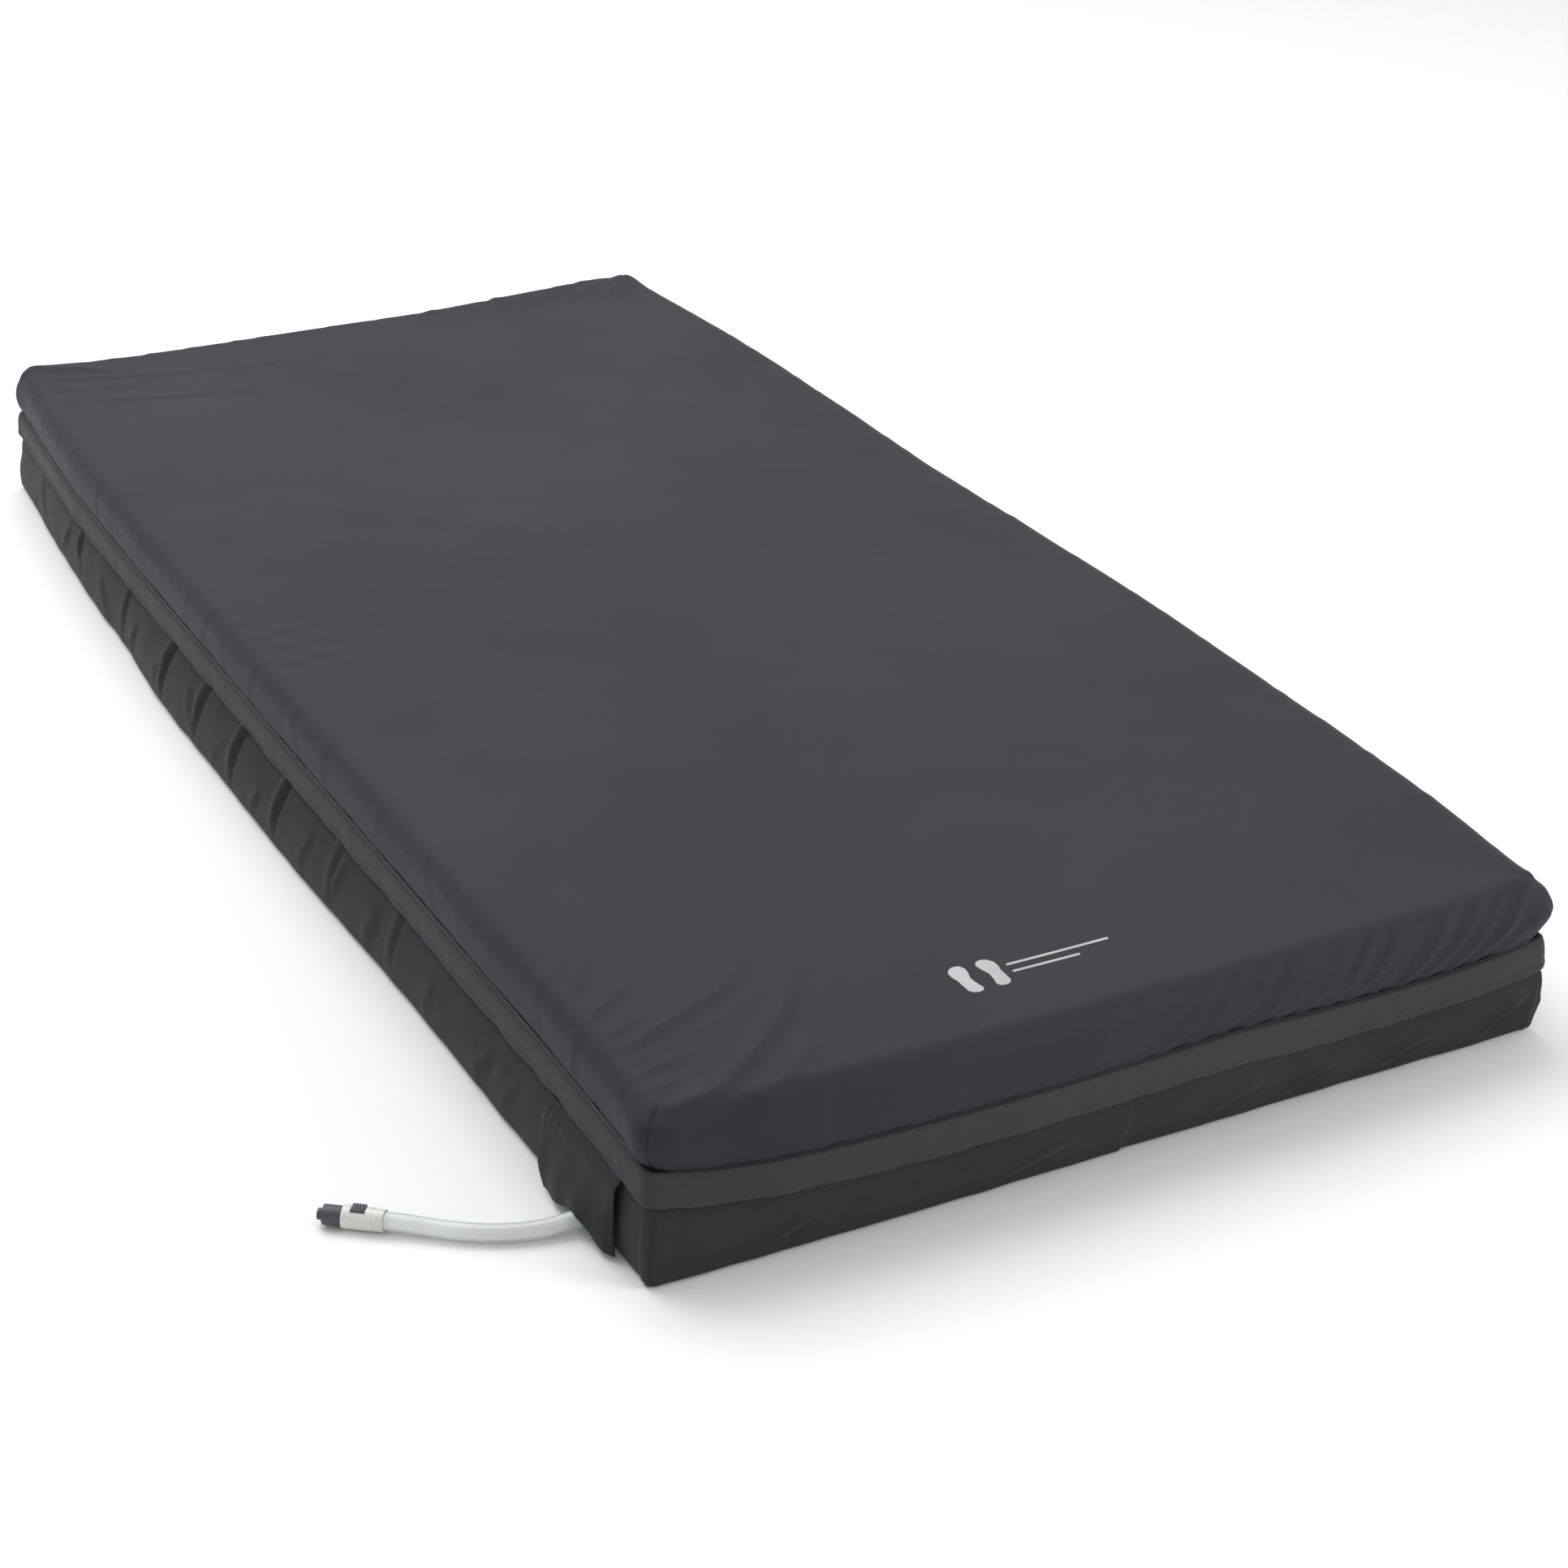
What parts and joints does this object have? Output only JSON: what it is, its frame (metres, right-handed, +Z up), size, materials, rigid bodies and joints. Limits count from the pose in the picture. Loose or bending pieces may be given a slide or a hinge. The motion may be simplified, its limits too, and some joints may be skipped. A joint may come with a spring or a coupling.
{
  "type": "pressure relief mattress",
  "caption": "Dark zipped-cover pressure relief mattress with a rain flap over its zip, foam base and bolsters, transverse air cells and a short hose outlet under a side flap.",
  "frame": {"origin": "centre of the flat underside", "axes": "+Y from foot to head, +Z up, +X to the right of someone who looks from foot to head; the hose outlet is on the -X side near the foot"},
  "size_m": [1.0964, 2.032, 0.16],
  "materials": {
    "cover_top": "coated stretch knit, soft satin",
    "cover_base": "coated woven cloth",
    "flap_cloth": "coated woven cloth",
    "zip_tape": "woven tape",
    "zip_coil": "nylon coil",
    "zip_metal": "black enamel",
    "barrier_cloth": "knitted sock",
    "foam_soft": "open-cell foam",
    "foam_firm": "open-cell foam",
    "cell_film": "welded film",
    "core_foam": "open-cell foam",
    "strap_web": "woven webbing",
    "line_plastic": "soft tubing",
    "valve_plastic": "moulded",
    "fitting_white": "moulded",
    "fitting_black": "moulded",
    "hose_clear": "clear flexible tube",
    "coupling_body": "moulded",
    "coupling_grip": "moulded"
  },
  "bodies": {
    "seat": {"top_cover": "cover_top", "base_cover": "cover_base", "zip_flap": "flap_cloth", "zip_tape_upper": "zip_tape", "zip_tape_lower": "zip_tape", "zip_chain": "zip_coil", "fire_barrier": "barrier_cloth", "foam_topper": "foam_soft", "foam_base": "foam_firm", "side_bolster_left": "foam_soft", "side_bolster_right": "foam_soft", "air_cell_09": "cell_film", "air_cell_10": "cell_film", "air_cell_11": "cell_film", "cell_cores_seat": "core_foam", "cell_strap_left": "strap_web", "cell_strap_right": "strap_web", "air_line_a": "line_plastic", "air_line_b": "line_plastic"},
    "back": {"air_cell_12": "cell_film", "air_cell_13": "cell_film", "air_cell_14": "cell_film", "air_cell_15": "cell_film", "air_cell_16": "cell_film", "air_cell_17": "cell_film", "air_cell_18": "cell_film", "cell_cores_back": "core_foam", "head_bolster": "foam_soft", "check_valve_a": "valve_plastic", "check_valve_b": "valve_plastic"},
    "thigh": {"air_cell_06": "cell_film", "air_cell_07": "cell_film", "air_cell_08": "cell_film", "cell_cores_thigh": "core_foam"},
    "calf": {"air_cell_01": "cell_film", "air_cell_02": "cell_film", "air_cell_03": "cell_film", "air_cell_04": "cell_film", "air_cell_05": "cell_film", "cell_cores_calf": "core_foam", "foot_bolster": "foam_soft", "line_link": "line_plastic", "inlet_elbow": "fitting_white", "gland_nut": "fitting_black", "hose_gland": "fitting_black", "hose_flap_binding": "cover_base", "air_hose": "hose_clear", "connector_body": "coupling_body"},
    "hose_flap": {"hose_flap": "cover_base"},
    "latch": {"connector_latch": "coupling_grip"},
    "cap": {"dust_cap": "coupling_grip"},
    "slider": {"zip_slider": "zip_metal"},
    "pull": {"zip_pull": "zip_metal"}
  },
  "joints": [
    {"name": "back_raise", "type": "hinge", "parent": "seat", "child": "back", "pos_m": [0, 0.19, 0], "axis": [1, 0, 0], "range_deg": [0, 60], "deforming": ["top_cover", "base_cover", "zip_flap", "zip_tape_upper", "zip_tape_lower", "fire_barrier", "foam_topper", "foam_base", "side_bolster_left", "side_bolster_right", "cell_strap_left", "cell_strap_right", "air_line_a", "air_line_b", "air_cell_11", "air_cell_12", "air_cell_13", "air_cell_14", "air_cell_15", "cell_cores_seat", "cell_cores_back"]},
    {"name": "thigh_raise", "type": "hinge", "parent": "seat", "child": "thigh", "pos_m": [0, -0.06, 0], "axis": [-1, 0, 0], "range_deg": [0, 30], "deforming": ["air_cell_07", "air_cell_08", "air_cell_09", "cell_cores_thigh"]},
    {"name": "knee_bend", "type": "hinge", "parent": "thigh", "child": "calf", "pos_m": [0, -0.41, 0], "axis": [1, 0, 0], "range_deg": [0, 47], "deforming": ["air_cell_03", "air_cell_04", "air_cell_05", "air_cell_06", "cell_cores_calf"]},
    {"name": "hose_flap_lift", "type": "hinge", "parent": "calf", "child": "hose_flap", "pos_m": [-0.4399, -0.888, 0.069], "axis": [0, 1, 0], "range_deg": [0, 75]},
    {"name": "latch_press", "type": "slide", "parent": "calf", "child": "latch", "axis": [0, 0, -1], "range_m": [0, 0.002], "stiffness_N_per_m": 600},
    {"name": "cap_pull", "type": "slide", "parent": "calf", "child": "cap", "axis": [-0.7904, 0.6126, 0], "range_m": [0, 0.025]},
    {"name": "zip_slide", "type": "slide", "parent": "back", "child": "slider", "axis": [-1, 0, 0], "range_m": [0, 0.722], "deforming": ["zip_chain"]},
    {"name": "pull_swing", "type": "hinge", "parent": "slider", "child": "pull", "pos_m": [0.361, 1.0135, 0.0955], "axis": [0, 1, 0], "range_deg": [-60, 60]}
  ],
  "couplings": [
    {"joint": "knee_bend", "follows": "thigh_raise", "ratio": 1.55}
  ]
}
